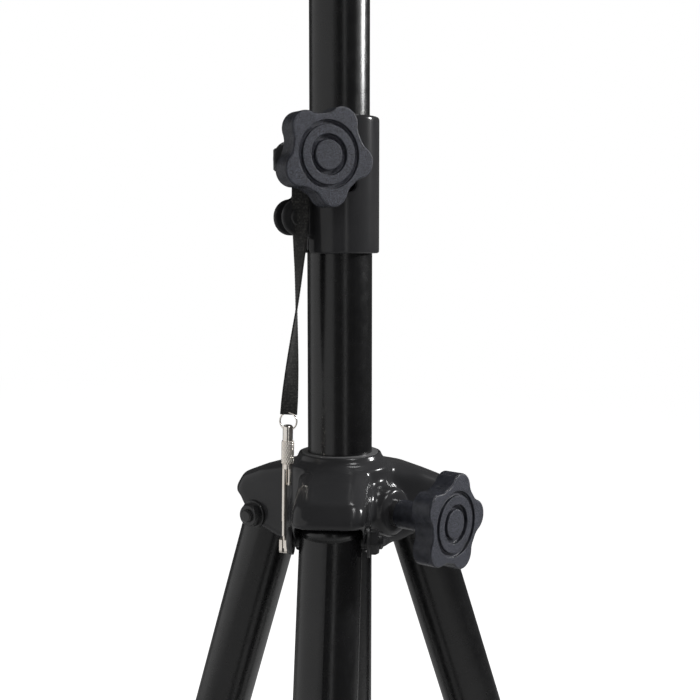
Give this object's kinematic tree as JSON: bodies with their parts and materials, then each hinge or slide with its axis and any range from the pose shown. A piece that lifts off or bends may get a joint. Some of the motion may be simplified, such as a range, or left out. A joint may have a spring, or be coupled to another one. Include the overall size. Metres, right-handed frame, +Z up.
{
  "type": "telescoping tripod stand",
  "caption": "Telescoping tripod stand: knob-clamped inner pole in a round mast, a knob-locked sliding leg hub, folding braced legs and a strap-tethered safety pin.",
  "frame": {"origin": "centre of the flat top face of the inner pole's cap, on the mast axis, in the pose shown", "axes": "+Z up along the mast; the front leg points to -Y and the other two legs to 30 and 150 degrees from +X"},
  "size_m": [0.5338, 0.4679, 1.2816],
  "materials": {
    "satin_black_tube": "satin black powder coat",
    "gloss_black_pressing": "smooth semi-gloss black coat on a steel pressing",
    "satin_black_bracket": "satin black coat",
    "charcoal_knob_plastic": "fine spark-eroded texture, polished groove edges",
    "black_plug_plastic": "moulded matt black",
    "grey_nylon": "plain grey nylon",
    "black_rubber": "moulded matt rubber",
    "black_fastener": "black oxide",
    "zinc_steel": "bright zinc",
    "black_webbing": "narrow woven nylon webbing",
    "nickel_pin": "warm bright nickel"
  },
  "bodies": {
    "mast": {"outer_mast": "satin_black_tube", "mast_bottom_plug": "black_plug_plastic", "clamp_collar": "gloss_black_pressing", "collar_liner": "grey_nylon", "collar_bolt": "black_fastener", "collar_bolt_nut": "black_fastener", "clamp_nut": "black_fastener", "clamp_washer": "black_fastener", "lower_hub": "satin_black_bracket", "lower_pivot_bolts": "black_fastener", "lower_pivot_nuts": "black_fastener", "lower_hub_rivets": "black_fastener"},
    "pole": {"inner_pole": "satin_black_tube", "pole_top_cap": "black_plug_plastic", "seat_ring": "satin_black_bracket", "seat_ring_screw": "black_fastener", "pole_tail_bush": "black_plug_plastic"},
    "clamp_knob": {"clamp_knob": "charcoal_knob_plastic", "clamp_knob_cap": "charcoal_knob_plastic", "clamp_knob_stud": "zinc_steel"},
    "hub": {"leg_hub": "gloss_black_pressing", "hub_bush": "grey_nylon", "leg_pivot_bolts": "black_fastener", "leg_pivot_nuts": "black_fastener", "hub_knob_ring": "black_fastener", "hub_weld_nut": "zinc_steel", "brake_shoe": "grey_nylon"},
    "hub_knob": {"hub_knob": "charcoal_knob_plastic", "hub_knob_cap": "charcoal_knob_plastic", "hub_knob_screw": "zinc_steel"},
    "lanyard": {"lanyard_strap": "black_webbing", "split_ring": "nickel_pin"},
    "safety_pin": {"pin_grip": "nickel_pin", "pin_shaft": "nickel_pin", "pin_latch": "nickel_pin", "toggle_rivet": "nickel_pin"},
    "toggle": {"pin_toggle": "nickel_pin"},
    "leg_front": {"leg_front": "satin_black_tube", "leg_front_plug": "black_plug_plastic", "leg_front_foot": "black_rubber", "brace_front_bolt": "black_fastener", "brace_front_nut": "black_fastener"},
    "brace_front": {"brace_front": "satin_black_bracket"},
    "leg_right": {"leg_right": "satin_black_tube", "leg_right_plug": "black_plug_plastic", "leg_right_foot": "black_rubber", "brace_right_bolt": "black_fastener", "brace_right_nut": "black_fastener"},
    "brace_right": {"brace_right": "satin_black_bracket"},
    "leg_left": {"leg_left": "satin_black_tube", "leg_left_plug": "black_plug_plastic", "leg_left_foot": "black_rubber", "brace_left_bolt": "black_fastener", "brace_left_nut": "black_fastener"},
    "brace_left": {"brace_left": "satin_black_bracket"}
  },
  "joints": [
    {"name": "leg_spread", "type": "hinge", "parent": "mast", "child": "brace_front", "pos_m": [0, -0.0495, -1.23692], "axis": [1, 0, 0], "range_deg": [-15, 20]},
    {"name": "front_leg_pivot", "type": "hinge", "parent": "brace_front", "child": "leg_front", "pos_m": [0, -0.16273, -0.90046], "axis": [1, 0, 0], "range_deg": [-40.5, 30.5]},
    {"name": "hub_carry", "type": "hinge", "parent": "leg_front", "child": "hub", "pos_m": [0, -0.0495, -0.564], "axis": [1, 0, 0], "range_deg": [-15.5, 20.5]},
    {"name": "right_leg_pivot", "type": "hinge", "parent": "hub", "child": "leg_right", "pos_m": [0.04287, 0.02475, -0.564], "axis": [-0.5, 0.866, 0], "range_deg": [-20.5, 15.5]},
    {"name": "right_brace_pivot", "type": "hinge", "parent": "mast", "child": "brace_right", "pos_m": [0.04287, 0.02475, -1.23692], "axis": [-0.5, 0.866, 0], "range_deg": [-15.5, 20.5]},
    {"name": "left_leg_pivot", "type": "hinge", "parent": "hub", "child": "leg_left", "pos_m": [-0.04287, 0.02475, -0.564], "axis": [-0.5, -0.866, 0], "range_deg": [-20.5, 15.5]},
    {"name": "left_brace_pivot", "type": "hinge", "parent": "mast", "child": "brace_left", "pos_m": [-0.04287, 0.02475, -1.23692], "axis": [-0.5, -0.866, 0], "range_deg": [-15.5, 20.5]},
    {"name": "pole_slide", "type": "slide", "parent": "mast", "child": "pole", "axis": [0, 0, 1], "range_m": [-0.195, 0.4]},
    {"name": "clamp_knob_turn", "type": "hinge", "parent": "mast", "child": "clamp_knob", "pos_m": [-0.02427, -0.01763, -0.3526], "axis": [0.5878, -0.809, 0], "range_deg": [0, 540]},
    {"name": "hub_knob_turn", "type": "hinge", "parent": "hub", "child": "hub_knob", "pos_m": [0.04974, -0.03355, -0.5537], "axis": [0.829, -0.5592, 0], "range_deg": [0, 540]},
    {"name": "lanyard_swing", "type": "hinge", "parent": "mast", "child": "lanyard", "pos_m": [-0.01922, -0.02459, -0.3526], "axis": [-0.5878, 0.809, 0], "range_deg": [0, 50]},
    {"name": "pin_swing", "type": "hinge", "parent": "lanyard", "child": "safety_pin", "pos_m": [-0.02657, -0.02993, -0.50563], "axis": [-0.9876, 0.1565, 0.0123], "range_deg": [0, 30]},
    {"name": "toggle_tip", "type": "hinge", "parent": "safety_pin", "child": "toggle", "pos_m": [-0.0291, -0.03037, -0.5726], "axis": [-0.9876, 0.1565, 0.0123], "range_deg": [-85, 85]}
  ],
  "couplings": [
    {"joint": "front_leg_pivot", "follows": "leg_spread", "ratio": -2},
    {"joint": "hub_carry", "follows": "leg_spread", "ratio": 1},
    {"joint": "right_leg_pivot", "follows": "leg_spread", "ratio": -1},
    {"joint": "right_brace_pivot", "follows": "leg_spread", "ratio": 1},
    {"joint": "left_leg_pivot", "follows": "leg_spread", "ratio": -1},
    {"joint": "left_brace_pivot", "follows": "leg_spread", "ratio": 1}
  ]
}
